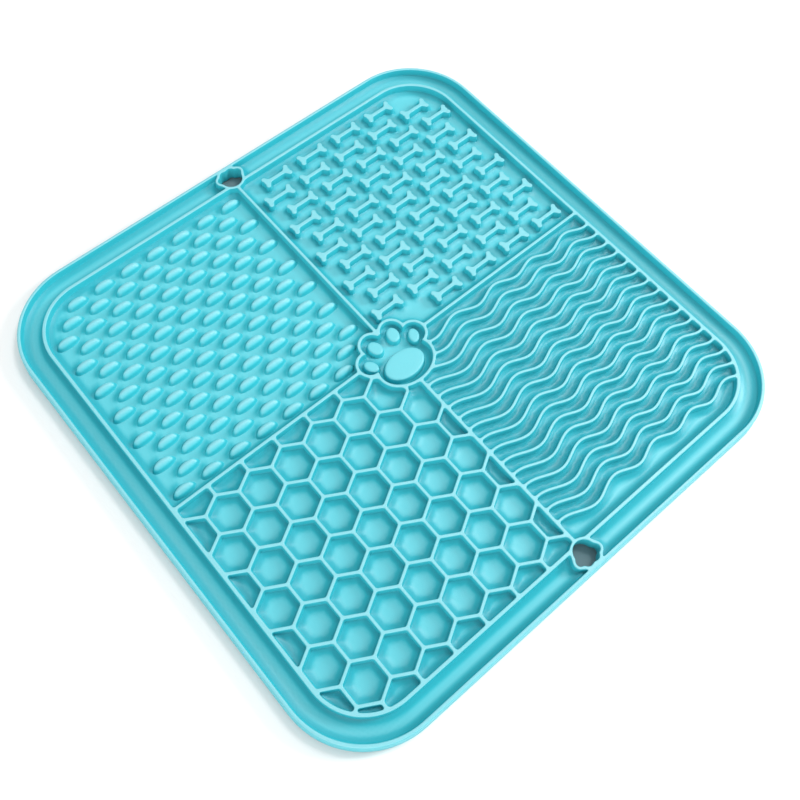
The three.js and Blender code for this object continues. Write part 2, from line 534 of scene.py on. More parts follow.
class Skin:
    """Collects the points and faces of the mat's closed surface."""

    def __init__(self) -> None:
        """Start with nothing."""
        self.points: list[tuple[float, float, float]] = []
        self.normals: list[tuple[float, float, float]] = []
        self.faces: list[tuple[int, ...]] = []

    def ring(self, loop: Loop, row: Row) -> np.ndarray:
        """Add the points of an outline at one row of a profile.

        Args:
            loop: The outline.
            row: Offset, height and angle of the normal.

        Returns:
            The numbers of the new points.
        """
        offset, height, angle = row
        place = loop.points + loop.normals * offset
        side = loop.normals * math.cos(math.radians(angle))
        lift = math.sin(math.radians(angle))
        start = len(self.points)
        self.points += [(x, y, height) for x, y in place.tolist()]
        self.normals += [(x, y, lift) for x, y in side.tolist()]
        return np.arange(start, len(self.points))

    def ground_ring(self, loop: Loop, offset: float, ground: Ground) -> np.ndarray:
        """Add the points where a wall meets the floor.

        Args:
            loop: The wall's outline.
            offset: How far outside it the floor begins.
            ground: The floor.

        Returns:
            The numbers of the new points.
        """
        places = loop.points + loop.normals * offset
        levels, normals = ground.at(places)
        return self.add_points(np.column_stack([places, levels]), normals)

    def add_points(self, places: np.ndarray, normals: np.ndarray) -> np.ndarray:
        """Add free points.

        Args:
            places: Where they lie, in mm.
            normals: Which way the skin looks there.

        Returns:
            The numbers of the new points.
        """
        start = len(self.points)
        self.points += [tuple(place) for place in places.tolist()]
        self.normals += [tuple(normal) for normal in normals.tolist()]
        return np.arange(start, len(self.points))

    def strip(self, upper: np.ndarray, lower: np.ndarray) -> None:
        """Join two rings of the same outline with quads that look away from the solid.

        Args:
            upper: The ring nearer to the solid's top.
            lower: The ring outside or below it.
        """
        upper_next = np.roll(upper, -1)
        lower_next = np.roll(lower, -1)
        quads = np.stack([upper, lower, lower_next, upper_next], axis=1)
        self.faces += [tuple(quad) for quad in quads.tolist()]

    def wall(self, loop: Loop, rows: list[Row],
             ground: Ground | None = None) -> tuple[np.ndarray, np.ndarray]:
        """Sweep a profile round an outline.

        Args:
            loop: The outline.
            rows: The profile, from its upper inner edge outwards and down.
            ground: The floor that its last row lies on, if it stands on one.

        Returns:
            The first and the last ring.
        """
        if ground is None:
            rings = [self.ring(loop, row) for row in rows]
        else:
            rings = [self.ring(loop, row) for row in rows[:-1]]
            rings.append(self.ground_ring(loop, rows[-1][0], ground))
        for upper, lower in zip(rings, rings[1:]):
            self.strip(upper, lower)
        return rings[0], rings[-1]

    def spread(self, rings: list[np.ndarray], ground: Ground, half: float) -> None:
        """Lay the floor between rings, with points of its own all over it.

        Args:
            rings: Where walls, bones, bumps and pads stand on the floor.
            ground: The floor.
            half: Half the side of the square that its own points lie in.
        """
        start = len(self.points)
        self.cap(rings, 0.0, Face.UPWARD, ground.inner_points(half))
        places = np.array(self.points[start:])[:, :2]
        levels, normals = ground.at(places)
        self.points[start:] = [tuple(place) for place in np.column_stack([places, levels]).tolist()]
        self.normals[start:] = [tuple(normal) for normal in normals.tolist()]

    def cap(self, rings: list[np.ndarray], height: float, face: Face,
            inner: np.ndarray | None = None) -> None:
        """Fill the region between rings, counting inwards from the outermost.

        Args:
            rings: Closed rings that don't cross.
            height: Height of any point that has to be added.
            face: Which way the region looks.
            inner: More points to use inside the region.
        """
        flat: list[Vector] = []
        numbers: list[int] = []
        edges: list[tuple[int, int]] = []
        for ring in rings:
            start = len(flat)
            count = len(ring)
            for step, number in enumerate(ring.tolist()):
                flat.append(Vector(self.points[number][:2]))
                numbers.append(number)
                edges.append((start + step, start + (step + 1) % count))
        if inner is not None:
            flat += [Vector(place) for place in inner.tolist()]
        places, spans, triangles, from_points, from_edges, _ = delaunay_2d_cdt(
            flat, edges, [], WHOLE_HULL, LEAST_GAP)
        numbering: dict[int, int] = {}
        for at, sources in enumerate(from_points):
            on_ring = [source for source in sources if source < len(numbers)]
            if on_ring:
                numbering[at] = numbers[on_ring[0]]
        fixed = {tuple(sorted(span)) for span, sources in zip(spans, from_edges) if sources}
        for triangle in self._filled(triangles, fixed):
            for corner in triangle:
                if corner not in numbering:
                    numbering[corner] = len(self.points)
                    self.points.append((places[corner].x, places[corner].y, height))
                    self.normals.append((0.0, 0.0, face.value))
            a, b, c = (places[corner] for corner in triangle)
            turned = (b - a).cross(c - a) * face.value < 0.0
            corners = [numbering[corner] for corner in triangle]
            self.faces.append(tuple(reversed(corners)) if turned else tuple(corners))

    @staticmethod
    def _sides(triangle: Sequence[int]) -> list[tuple[int, int]]:
        """The three sides of a triangle, each with its lower corner number first."""
        return [tuple(sorted((triangle[corner], triangle[(corner + 1) % 3]))) for corner in range(3)]

    @classmethod
    def _filled(cls, triangles: list[Sequence[int]], fixed: set[tuple[int, int]]) -> list[Sequence[int]]:
        """Pick the triangles that lie inside an odd number of rings.

        Args:
            triangles: All triangles, by their corners.
            fixed: The sides that lie on a ring.

        Returns:
            Those to keep.
        """
        beside: dict[tuple[int, int], list[int]] = {}
        for number, triangle in enumerate(triangles):
            for key in cls._sides(triangle):
                beside.setdefault(key, []).append(number)
        state: dict[int, int] = {}
        queue: deque[int] = deque()
        for key, owners in beside.items():
            if len(owners) == 1 and owners[0] not in state:
                state[owners[0]] = 1 if key in fixed else 0
                queue.append(owners[0])
        while queue:
            number = queue.popleft()
            for key in cls._sides(triangles[number]):
                for other in beside[key]:
                    if other not in state:
                        state[other] = state[number] ^ (key in fixed)
                        queue.append(other)
        return [triangle for number, triangle in enumerate(triangles) if state.get(number)]

    def build(self, name: str, material: bpy.types.Material) -> bpy.types.Object:
        """Make the Blender object.

        Args:
            name: The piece's name.
            material: Its finish.

        Returns:
            The new object, in metres.
        """
        mesh = bpy.data.meshes.new(name)
        mesh.from_pydata((np.array(self.points) * MM).tolist(), [], self.faces)
        mesh.validate()
        mesh.shade_smooth()
        mesh.normals_split_custom_set_from_vertices(unit(np.array(self.normals)).tolist())
        mesh.materials.append(material)
        piece = bpy.data.objects.new(name, mesh)
        bpy.context.scene.collection.objects.link(piece)
        return piece


@dataclass
class Tray:
    """Base, outer side, rim, gutter, frame wall and the two dividers."""

    half: float = 100.0
    top_half: float = 99.5
    corner_centre: float = 70.85    # every round corner is struck from here
    height: float = 5.6
    floor: float = 2.0
    rim_inner: float = 98.1
    frame_line: float = 90.35
    frame_wall: float = 1.4
    divider_wall: float = 1.3
    blend: float = 0.8
    outer_round: float = 0.7
    outer_angles: tuple[float, ...] = (UP, 68.0, 45.0, 22.0, 5.0)
    side_angle: float = 2.0         # of the leaning outer side
    under_round: float = 0.3
    under_eased: float = 0.08       # how far the lower edge stands back halfway round
    corner_points: int = 20
    hollow_rise: float = 1.05
    hollow_reach: float = 3.9

    def walls(self, x: Grid, y: Grid) -> Grid:
        """Measure the distance to the rim, the frame wall and the dividers.

        Args:
            x: Places along X, in mm.
            y: Places along Y, in mm.

        Returns:
            The distance, negative inside a wall.
        """
        rim = -rounded_square_distance(x, y, self.rim_inner, self.rim_inner - self.corner_centre)
        around = np.abs(self.field(x, y)) - self.frame_wall / 2
        half = self.divider_wall / 2
        upright = np.maximum(np.abs(x) - half, np.abs(y) - self.frame_line)
        level = np.maximum(np.abs(y) - half, np.abs(x) - self.frame_line)
        dividers = soft_union(upright, level, self.blend)
        return np.minimum(rim, soft_union(around, dividers, self.blend))

    def field(self, x: Grid, y: Grid) -> Grid:
        """Distance to the middle line of the frame wall, negative inside it."""
        return rounded_square_distance(x, y, self.frame_line, self.frame_line - self.corner_centre)

    def floor_beside(self, distance: float) -> float:
        """Height of the hollowed floor at a distance from a wall."""
        return self.floor + self.hollow_rise * (1.0 - distance / self.hollow_reach) ** 2

    def outline(self) -> Loop:
        """Draw the outer edge, as wide as the underside.

        Returns:
            The closed outline, with its corners cut into short runs.
        """
        radius = self.half - self.corner_centre
        points = []
        normals = []
        for corner, signs in enumerate(((1, 1), (-1, 1), (-1, -1), (1, -1))):
            middle = self.corner_centre * np.array(signs)
            for step in range(self.corner_points + 1):
                angle = math.pi / 2 * (corner + step / self.corner_points)
                normal = np.array([math.cos(angle), math.sin(angle)])
                points.append(middle + radius * normal)
                normals.append(normal)
        return Loop(np.array(points), np.array(normals))

    def outer_rows(self) -> list[Row]:
        """Draw the section of the outer side.

        Returns:
            Its rows, from the rim's top to the underside.
        """
        rows = []
        for angle in self.outer_angles:
            turn = math.radians(angle)
            offset = self.top_half - self.half - self.outer_round * (1 - math.cos(turn))
            rows.append((offset, self.height - self.outer_round * (1 - math.sin(turn)), angle))
        rows.append((0.0, self.under_round, self.side_angle))
        rows.append((-self.under_eased, self.under_eased, UNDER))
        rows.append((-self.under_round, 0.0, DOWN))
        return rows


@dataclass
class Honeycomb:
    """Six sided cells with round inner corners, and one cell wall left out under the paw."""

    pitch: float = 12.93
    wall: float = 1.25
    corner_round: float = 0.9
    origin: Place = (-51.2, -34.17)
    left_out: tuple[Place, Place] = ((-4.2, -16.2), (0.9, -19.0))
    left_out_half: float = 1.2      # half width of what is cut out there, in walls

    def walls(self, x: Grid, y: Grid) -> Grid:
        """Measure the distance to the walls between the cells.

        Args:
            x: Places along X, in mm.
            y: Places along Y, in mm.

        Returns:
            The distance, negative inside a wall.
        """
        row_pitch = self.pitch * math.sqrt(3.0) / 2.0
        nearest = np.full_like(x, FAR)
        inner = (self.pitch - self.wall) / 2.0 - self.corner_round
        for parity in (0, 1):
            row = 2 * np.round(((y - self.origin[1]) / row_pitch - parity) / 2) + parity
            shift = 0.5 * parity
            column = np.round((x - self.origin[0]) / self.pitch - shift) + shift
            u = np.abs(x - self.origin[0] - column * self.pitch)
            v = np.abs(y - self.origin[1] - row * row_pitch)
            nearest = np.minimum(nearest, self._hexagon(u, v, inner))
        gap = capsule_distance(x, y, *self.left_out, self.left_out_half * self.wall)
        return np.maximum(self.corner_round - nearest, -gap)

    @staticmethod
    def _hexagon(u: Grid, v: Grid, inner: float) -> Grid:
        """Measure the distance to a hexagon with upright sides.

        Args:
            u: Places along X from its middle, none negative.
            v: Places along Y from its middle, none negative.
            inner: Distance of a side from the middle.

        Returns:
            The distance, negative inside.
        """
        slant_x, slant_y = 0.5, math.sqrt(3.0) / 2.0
        mirrored = slant_x * u + slant_y * v > u
        along = np.where(mirrored, u * slant_x + v * slant_y, u)
        across = np.where(mirrored, np.abs(u * slant_y - v * slant_x), v)
        half_side = inner / math.sqrt(3.0)
        ahead = along - inner
        beside = np.maximum(across - half_side, 0.0)
        return np.where(ahead > 0.0, np.hypot(ahead, beside), ahead)


@dataclass
class Waves:
    """Parallel wavy ridges, all with the same crest line, which swings between the turns."""

    count: int = 16
    first: float = -5.04
    pitch: float = 5.203
    wall: float = 1.15
    turns: tuple[Place, ...] = (
        (-10.0, -1.3), (1.8, 2.07), (14.6, -1.48), (25.8, 1.56), (35.3, -1.18), (45.0, 1.47),
        (53.8, -1.06), (62.7, 1.03), (70.6, -1.47), (80.0, 1.05), (88.3, -1.48), (98.0, 1.2), (110.0, -1.2),
    )

    def walls(self, x: Grid, y: Grid) -> Grid:
        """Measure the distance to the ridges.

        Args:
            x: Places along X, in mm.
            y: Places along Y, in mm.

        Returns:
            The distance, negative inside a ridge.
        """
        places = np.array([turn[0] for turn in self.turns])
        levels = np.array([turn[1] for turn in self.turns])
        at = np.clip(x, places[0], places[-1] - LEAST_GAP)
        index = np.searchsorted(places, at, side="right") - 1
        start, end = places[index], places[index + 1]
        low, high = levels[index], levels[index + 1]
        turn = math.pi * (at - start) / (end - start)
        crest = low + (high - low) * (1.0 - np.cos(turn)) / 2.0
        slope = (high - low) * math.pi / (end - start) * np.sin(turn) / 2.0
        number = np.clip(np.round((self.first + crest - y) / self.pitch), 0, self.count - 1)
        miss = y - (self.first + crest - number * self.pitch)
        return np.abs(miss) / np.sqrt(1.0 + slope * slope) - self.wall / 2.0


@dataclass
class Paw:
    """The paw in the middle: its wall and its five raised pads."""

    wall: float = 1.25
    rounds: tuple[tuple[Place, Place], ...] = (     # the middle and the half sizes of each
        ((-4.35, 5.3), (4.55, 4.55)), ((4.4, 5.3), (4.55, 4.55)), ((-9.5, 0.1), (4.6, 4.6)),
        ((9.95, 0.1), (4.6, 4.6)), ((0.6, -6.65), (10.9, 8.45)), ((0.3, 1.0), (9.0, 6.4)),
    )
    rounds_blend: float = 0.5
    pads: tuple[tuple[Place, Place, float], ...] = (    # the middle, the half sizes and the tilt of each
        ((0.05, -6.85), (8.15, 5.55), 0.0), ((-3.85, 4.1), (2.6, 3.3), 16.0), ((4.3, 4.3), (2.6, 3.3), -16.0),
        ((-9.5, -0.55), (2.25, 3.1), 25.0), ((9.8, -0.4), (2.25, 3.1), -25.0),
    )
    pad_height: float = 2.6
    pad_points: int = 36
    pad_edge: tuple[Row, ...] = (       # heights from the pad's top
        (-1.2, 0.0, 88.0), (-0.75, -0.04, 76.0), (-0.5, -0.17, 48.0), (-0.36, -0.45, 18.0),
    )
    pad_foot: tuple[Row, ...] = ((-0.1, 0.55, 16.0), (0.05, 0.2, 42.0), (0.35, 0.0, UP))    # from the floor
    crown: float = 0.03                 # how much a pad rises towards its middle
    crown_rings: tuple[float, ...] = (0.6, 0.25)

    def region(self, x: Grid, y: Grid) -> Grid:
        """Measure the distance to the middle line of the paw's wall.

        Args:
            x: Places along X, in mm.
            y: Places along Y, in mm.

        Returns:
            The distance, negative inside the paw.
        """
        lobes = (ellipse_distance(x, y, centre, half) for centre, half in self.rounds)
        return soft_union_of(lobes, self.rounds_blend)

    def pad_loop(self, centre: Place, half: Place, tilt: float) -> Loop:
        """Draw the foot of one pad.

        Args:
            centre: Its middle.
            half: Its half sizes.
            tilt: How far it is turned, in degrees.

        Returns:
            The closed outline.
        """
        angles = np.linspace(0.0, 2.0 * math.pi, self.pad_points, endpoint=False)
        turn = math.radians(tilt)
        turned = np.array([[math.cos(turn), -math.sin(turn)], [math.sin(turn), math.cos(turn)]])
        points = np.stack([half[0] * np.cos(angles), half[1] * np.sin(angles)], axis=1) @ turned.T
        normals = np.stack([half[1] * np.cos(angles), half[0] * np.sin(angles)], axis=1) @ turned.T
        return Loop(points, unit(normals)).moved(*centre)

    def pad_rows(self, floor: float) -> list[Row]:
        """Draw the section of a pad.

        Args:
            floor: Height of the floor.

        Returns:
            Its rows, from its gently rounded top to the floor.
        """
        top = floor + self.pad_height
        edge = [(offset, top + height, angle) for offset, height, angle in self.pad_edge]
        return edge + [(offset, floor + height, angle) for offset, height, angle in self.pad_foot]

    def build(self, skin: Skin, floor: float, ground: Ground) -> list[np.ndarray]:
        """Add the pads.

        Args:
            skin: The surface being made.
            floor: Height of the floor.
            ground: The floor's surface.

        Returns:
            The ring of each pad's foot.
        """
        feet = []
        for centre, half, tilt in self.pads:
            previous, foot = skin.wall(self.pad_loop(centre, half, tilt), self.pad_rows(floor), ground)
            edge = np.array([skin.points[number] for number in previous.tolist()])
            middle = np.array([*centre, 0.0])
            for part in self.crown_rings:
                places = middle + (edge - middle) * np.array([part, part, 1.0])
                places[:, 2] += self.crown * (1.0 - part)
                ring = skin.add_points(places, np.tile([0.0, 0.0, 1.0], (len(places), 1)))
                skin.strip(ring, previous)
                previous = ring
            skin.faces.append(tuple(previous.tolist()))
            feet.append(foot)
        return feet


@dataclass
class HangingHole:
    """A small paw shaped hole through the base, with a collar wall across the gutter."""

    side: Side
    across: float               # how far its middle lies off the Y axis, in mm
    wall: float = 1.1
    rounds: tuple[tuple[Place, float], ...] = (     # the middle and the radius of each
        ((0.0, 93.4), 4.45), ((-3.45, 94.7), 1.95), ((3.45, 94.7), 1.95),
        ((-1.5, 96.2), 1.95), ((1.5, 96.2), 1.95),
    )
    rounds_blend: float = 0.9
    collar_blend: float = 0.5
    middle: float = 94.5        # of the opening, from the middle of the mat
    near: tuple[float, float] = (1.0, 3.0)  # how far off, along X and Y, an outline's middle may be
    largest: float = 12.0       # the opening is smaller than this

    def region(self, x: Grid, y: Grid) -> Grid:
        """Measure the distance to the middle line of the collar.

        Args:
            x: Places along X, in mm.
            y: Places along Y, in mm.

        Returns:
            The distance, negative inside the collar.
        """
        lobes = (
            ellipse_distance(x, y, (self.across + centre[0], self.side.value * centre[1]), (radius, radius))
            for centre, radius in self.rounds
        )
        return soft_union_of(lobes, self.rounds_blend)

    def add_to(self, walls: Grid, x: Grid, y: Grid) -> Grid:
        """Join the collar to the walls and open the hole.

        Args:
            walls: Distance to the walls.
            x: Places along X, in mm.
            y: Places along Y, in mm.

        Returns:
            The distance to the walls with the collar.
        """
        region = self.region(x, y)
        joined = soft_union(walls, region - self.wall / 2.0, self.collar_blend)
        return np.maximum(joined, -(region + self.wall / 2.0))

    def holds(self, loop: Loop) -> bool:
        """Tell whether an outline is the edge of this hole.

        Args:
            loop: The outline.

        Returns:
            True if it is.
        """
        across, along = loop.middle()
        size = np.ptp(loop.points, axis=0).max()
        off = abs(along - self.side.value * self.middle)
        return bool(abs(across) < self.near[0] and off < self.near[1] and size < self.largest)


@dataclass
class Bones:
    """Rows of small flat topped bones, every second row shifted."""

    top: float = 5.2
    top_round: float = 0.3
    foot_round: float = 0.35
    draft: float = 0.06
    first: Place = (14.4, 83.8)
    pitch: Place = (16.63, 7.77)
    shift: float = -4.6
    rows: int = 11
    columns: int = 5
    shank: float = 0.8          # half its width
    shank_from: Place = (-1.0, 0.0)     # beyond the middle, where the two mirrored halves overlap
    fork: Place = (4.0, 0.0)    # where the shank parts in two arms
    arm: float = 1.0            # half its width
    knuckle_at: Place = (5.02, 1.6)
    palm_at: float = 4.55
    palm: float = 1.2           # the round between the arms
    arms_blend: float = 0.5
    head_blend: float = 0.4
    reach: float = 11.0         # how far from a bone's middle the floor feels it
    hollow_less: float = 1.0    # the floor rises less beside a bone, as if it stood this much further off

    def outline(self) -> Loop:
        """Draw the outline of one bone about its middle.

        Returns:
            The closed outline.
        """
        area = DistanceMap(reach=7.5, pitch=0.08, tolerance=0.02)
        return max(area.loops(self.shape(*area.grid())), key=lambda loop: len(loop.points))

    def shape(self, x: Grid, y: Grid) -> Grid:
        """Measure the distance to one bone about its middle.

        Args:
            x: Places along X from its middle, in mm.
            y: Places along Y from its middle, in mm.

        Returns:
            The distance, negative inside.
        """
        u, v = np.abs(x), np.abs(y)
        shank = capsule_distance(u, v, self.shank_from, self.fork, self.shank)
        arm = capsule_distance(u, v, self.fork, self.knuckle_at, self.arm)
        other_arm = capsule_distance(u, -v, self.fork, self.knuckle_at, self.arm)
        palm = np.hypot(u - self.palm_at, v) - self.palm
        head = soft_union(soft_union(arm, other_arm, self.arms_blend), palm, self.head_blend)
        return soft_union(shank, head, self.head_blend)

    def distances(self, area: DistanceMap) -> Grid:
        """Distance to the nearest bone over the whole map."""
        return area.nearest(self.middles(), self.reach, self.shape)

    def middles(self) -> list[Place]:
        """Place the bones: the round corner and the paw leave one out each.

        Returns:
            The middle of each bone.
        """
        places = []
        for row in range(self.rows):
            for column in range(self.columns):
                if (row, column) in ((0, self.columns - 1), (self.rows - 1, 0)):
                    continue
                x = self.first[0] + column * self.pitch[0] + (row % 2) * self.shift
                places.append((x, self.first[1] - row * self.pitch[1]))
        return places

    def build(self, skin: Skin, floor: float, ground: Ground) -> list[np.ndarray]:
        """Add the bones.

        Args:
            skin: The surface being made.
            floor: Height of the floor beside a bone.
            ground: The floor's surface.

        Returns:
            The ring of each bone's foot.
        """
        outline = self.outline()
        profile = Profile(self.top, floor, self.top_round, self.foot_round, draft=self.draft)
        feet = []
        for x, y in self.middles():
            top, foot = skin.wall(outline.moved(x, y), profile.rows(), ground)
            skin.cap([top], self.top, Face.UPWARD)
            feet.append(foot)
        return feet


@dataclass
class Bumps:
    """Rows of low domes, steeper at the front, with a crest along X and pointed ends."""

    first: Place = (-83.6, 84.8)
    pitch: Place = (10.98, 5.765)
    rows: int = 15
    columns: int = 8
    half: float = 4.4
    back: float = 2.75
    front: float = 1.6
    pinch: tuple[float, float] = (1.5, 1.25)    # how pointed the left and right ends are behind the crest
    front_pinch: float = 0.8        # and before it
    height: float = 2.15
    fullness: tuple[float, float] = (2.1, 0.8)      # powers of the dome's section
    arch: float = 1.2               # how far back the crest bows in its middle
    ridge: tuple[float, float] = (-1.9, 2.2)    # where the crest ends, left and right
    ridge_part: float = 0.62        # crest point for a point of the foot, as a part of its X
    foot_gap: float = 0.12
    thick_from: Place = (-4.2, 1.2)     # the floor is thickest along a line behind the left end, where it takes the painted shade
    thick_to: Place = (-1.2, 3.0)
    thick_half: float = 0.6
    hollow_less: float = 1.35       # as if that line lay this much further off
    sides: int = 24
    steps: tuple[float, ...] = (0.95, 0.85, 0.68, 0.46, 0.2)
    slope_step: float = 0.01        # over which the slope of the section is taken

    def outline(self) -> Loop:
        """Draw the foot of one dome about its middle.

        Returns:
            The closed outline.
        """
        angles = np.linspace(0.0, 2.0 * math.pi, self.sides, endpoint=False)
        x = self.half * np.cos(angles)
        behind = angles < math.pi
        power = np.where(behind, np.where(x < 0.0, *self.pinch), self.front_pinch)
        y = np.where(behind, self.back, -self.front) * np.abs(np.sin(angles)) ** power
        points = np.stack([x, y], axis=1)
        run = np.roll(points, -1, axis=0) - np.roll(points, 1, axis=0)
        return Loop(points, unit(np.stack([run[:, 1], -run[:, 0]], axis=1)))

    def middles(self) -> list[Place]:
        """Place the domes: the round corner and the paw leave one out each.

        Returns:
            The middle of each dome.
        """
        places = []
        for row in range(self.rows):
            odd = row % 2
            for column in range(self.columns - odd):
                if (row, column) in ((0, 0), (self.rows - 1, self.columns - 1)):
                    continue
                x = self.first[0] + (column + 0.5 * odd) * self.pitch[0]
                places.append((x, self.first[1] - row * self.pitch[1]))
        return places

    def thick_line(self, x: Grid, y: Grid) -> Grid:
        """Distance to the line where the floor is thickest, for places counted from a dome's middle."""
        return capsule_distance(x, y, self.thick_from, self.thick_to, self.thick_half)

    def distances(self, area: DistanceMap) -> Grid:
        """Distance to the nearest dome's thick line over the whole map."""
        return area.nearest(self.middles(), 2.0 * self.half, self.thick_line)

    def _section(self, part: float) -> float:
        """Height of a dome at a part of the way from its crest to its foot."""
        return self.height * (1.0 - min(abs(part), 1.0) ** self.fullness[0]) ** self.fullness[1]

    def build(self, skin: Skin, floor: float, ground: Ground) -> list[np.ndarray]:
        """Add the domes.

        Args:
            skin: The surface being made.
            floor: Height of the floor.
            ground: The floor's surface.

        Returns:
            The ring of each dome's foot.
        """
        outline = self.outline()
        ridge = np.clip(outline.points[:, 0] * self.ridge_part, *self.ridge)
        crest = np.stack([ridge, self.arch * (1.0 - (ridge / self.half) ** 2)], axis=1)
        outwards = outline.points - crest
        run = np.linalg.norm(outwards, axis=1, keepdims=True)
        feet = []
        for x, y in self.middles():
            foot = skin.ground_ring(outline.moved(x, y), self.foot_gap, ground)
            previous = foot
            for part in self.steps:
                flat = crest + outwards * part
                before = self._section(part - self.slope_step)
                slope = (before - self._section(part + self.slope_step)) / (2.0 * self.slope_step)
                side = outwards / run * (slope / run)
                level = np.full(self.sides, floor + self._section(part))
                places = np.column_stack([flat + np.array([x, y]), level])
                ring = skin.add_points(places, np.column_stack([side, np.ones(self.sides)]))
                skin.strip(ring, previous)
                previous = ring
            skin.faces.append(tuple(previous.tolist()))
            feet.append(foot)
        return feet


class NodeBench:
    """Adds nodes to one tree and joins them up."""

    def __init__(self, tree: bpy.types.NodeTree) -> None:
        """Work on the given tree."""
        self.tree = tree

    @classmethod
    def group(cls, name: str, takes: dict[str, Socket], gives: dict[str, Socket]) -> "NodeBench":
        """Start a node group.

        Args:
            name: The group's name.
            takes: Its inputs.
            gives: Its outputs.

        Returns:
            A bench for the group's tree.
        """
        tree = bpy.data.node_groups.new(name, "ShaderNodeTree")
        for direction, ports in (("INPUT", takes), ("OUTPUT", gives)):
            for port, kind in ports.items():
                tree.interface.new_socket(port, in_out=direction, socket_type=kind.value)
        return cls(tree)

    def feed(self, node: bpy.types.Node, inputs: dict[str | int, Given]) -> bpy.types.Node:
        """Link or set the inputs of a node.

        Args:
            node: The node.
            inputs: For each input, by name or number, the socket to link to it or its plain value.

        Returns:
            The same node.
        """
        for name, given in inputs.items():
            if isinstance(given, bpy.types.NodeSocket):
                self.tree.links.new(given, node.inputs[name])
            else:
                node.inputs[name].default_value = given
        return node

    def add(self, kind: str, inputs: dict[str | int, Given]) -> bpy.types.Node:
        """Add a node and feed it.

        Args:
            kind: The node's type.
            inputs: As for feed.

        Returns:
            The new node.
        """
        return self.feed(self.tree.nodes.new(kind), inputs)

    def calculate(self, work: Sum, *given: Given) -> bpy.types.NodeSocket:
        """Work out a value from others.

        Args:
            work: What to do with them.
            given: The values, in order.

        Returns:
            The result.
        """
        node = self.add("ShaderNodeMath", dict(enumerate(given)))
        node.operation = work.value
        return node.outputs["Value"]

    def blend(self, share: Given, first: Given, second: Given) -> bpy.types.NodeSocket:
        """Blend two colours.

        Args:
            share: How much of the second colour there is.
            first: One colour.
            second: The other colour.

        Returns:
            The blended colour.
        """
        node = self.tree.nodes.new("ShaderNodeMix")
        node.data_type = "RGBA"
        return self.feed(node, {"Factor": share, "A": first, "B": second}).outputs["Result"]

    def noise(self, place: Given, scale: float, detail: float) -> bpy.types.NodeSocket:
        """Add a noise pattern.

        Args:
            place: Where on the surface it is looked up.
            scale: How fine it is.
            detail: How many finer layers it has.

        Returns:
            Its strength.
        """
        node = self.add("ShaderNodeTexNoise", {"Vector": place, "Scale": scale, "Detail": detail})
        return node.outputs["Fac"]

    def upright(self, vector: Given) -> bpy.types.NodeSocket:
        """The part of a vector along Z."""
        return self.add("ShaderNodeSeparateXYZ", {"Vector": vector}).outputs["Z"]

    def between(self, value: Given, start: float, end: float,
                curve: Curve = Curve.STRAIGHT) -> bpy.types.NodeSocket:
        """Turn a value into a share that grows from none to all.

        Args:
            value: The value.
            start: Where the share starts to grow.
            end: Where it is whole.
            curve: The way it grows.

        Returns:
            The share.
        """
        node = self.add("ShaderNodeMapRange", {"Value": value, "From Min": start, "From Max": end})
        node.interpolation_type = curve.value
        return node.outputs["Result"]


@dataclass(frozen=True)
class PaintedLightAndGrain:
    """Painted sheen and highlights, painted shade where the floor rises, faint clouds of colour, duller
    patches and fine grain on silicone.
    """

    upward: tuple[float, float] = (0.2, 0.85)   # a face that looks up this much gets the painted sheen or the painted shade
    cloud_scale: float = 28.0
    cloud_detail: float = 3.0
    cloud_share: float = 0.06
    dull_scale: float = 160.0
    dull_detail: float = 4.0
    dull_share: float = 0.08
    grain_scale: float = 2200.0
    grain_detail: float = 2.0

    @staticmethod
    def share_by_height(bench: NodeBench, level: bpy.types.NodeSocket,
                        shares: tuple[tuple[float, float], ...]) -> bpy.types.NodeSocket:
        """Add a ramp from height to a share of one of the colours.

        Args:
            bench: Where to add it.
            level: Height, as a part of the full height.
            shares: Heights in mm and the share at each.

        Returns:
            The share.
        """
        ramp = bench.add("ShaderNodeValToRGB", {"Fac": level})
        stops = ramp.color_ramp.elements
        while len(stops) < len(shares):
            stops.new(0.5)
        for stop, (place, share) in zip(stops, shares):
            stop.position = place / SHADING_RAMP_TOP
            stop.color = (share, share, share, 1.0)
        return ramp.outputs["Color"]

    def group(self) -> bpy.types.NodeTree:
        """Build the node group.

        Returns:
            The group, with Place, Facing, Base, Pale for the painted sheen, Deep for the painted shade and
            Roughness in, and Colour, Roughness and Height out.
        """
        bench = NodeBench.group(
            "silicone_sheen_and_shade",
            {"Place": Socket.VECTOR, "Facing": Socket.VECTOR, "Base": Socket.COLOUR, "Pale": Socket.COLOUR,
             "Deep": Socket.COLOUR, "Roughness": Socket.VALUE},
            {"Colour": Socket.COLOUR, "Roughness": Socket.VALUE, "Height": Socket.VALUE})
        given = bench.add("NodeGroupInput", {}).outputs
        level = bench.calculate(Sum.QUOTIENT, bench.upright(given["Place"]), SHADING_RAMP_TOP * MM)
        upward = bench.between(bench.upright(given["Facing"]), *self.upward, curve=Curve.SMOOTH)
        # painted sheen and painted shade by height, on faces that look up
        raised = bench.calculate(Sum.PRODUCT, self.share_by_height(bench, level, PAINTED_SHEEN_BY_HEIGHT), upward)
        hollow = bench.calculate(Sum.PRODUCT, self.share_by_height(bench, level, PAINTED_SHADE_BY_HEIGHT), upward)
        clouds = bench.noise(given["Place"], self.cloud_scale, self.cloud_detail)
        pale = bench.calculate(Sum.PRODUCT_AND_MORE, clouds, self.cloud_share, raised)
        body = bench.blend(hollow, given["Base"], given["Deep"])
        dull = bench.noise(given["Place"], self.dull_scale, self.dull_detail)
        bench.add("NodeGroupOutput", {
            "Colour": bench.blend(pale, body, given["Pale"]),
            "Roughness": bench.calculate(Sum.PRODUCT_AND_MORE, dull, self.dull_share, given["Roughness"]),
            "Height": bench.noise(given["Place"], self.grain_scale, self.grain_detail),
        })
        return bench.tree


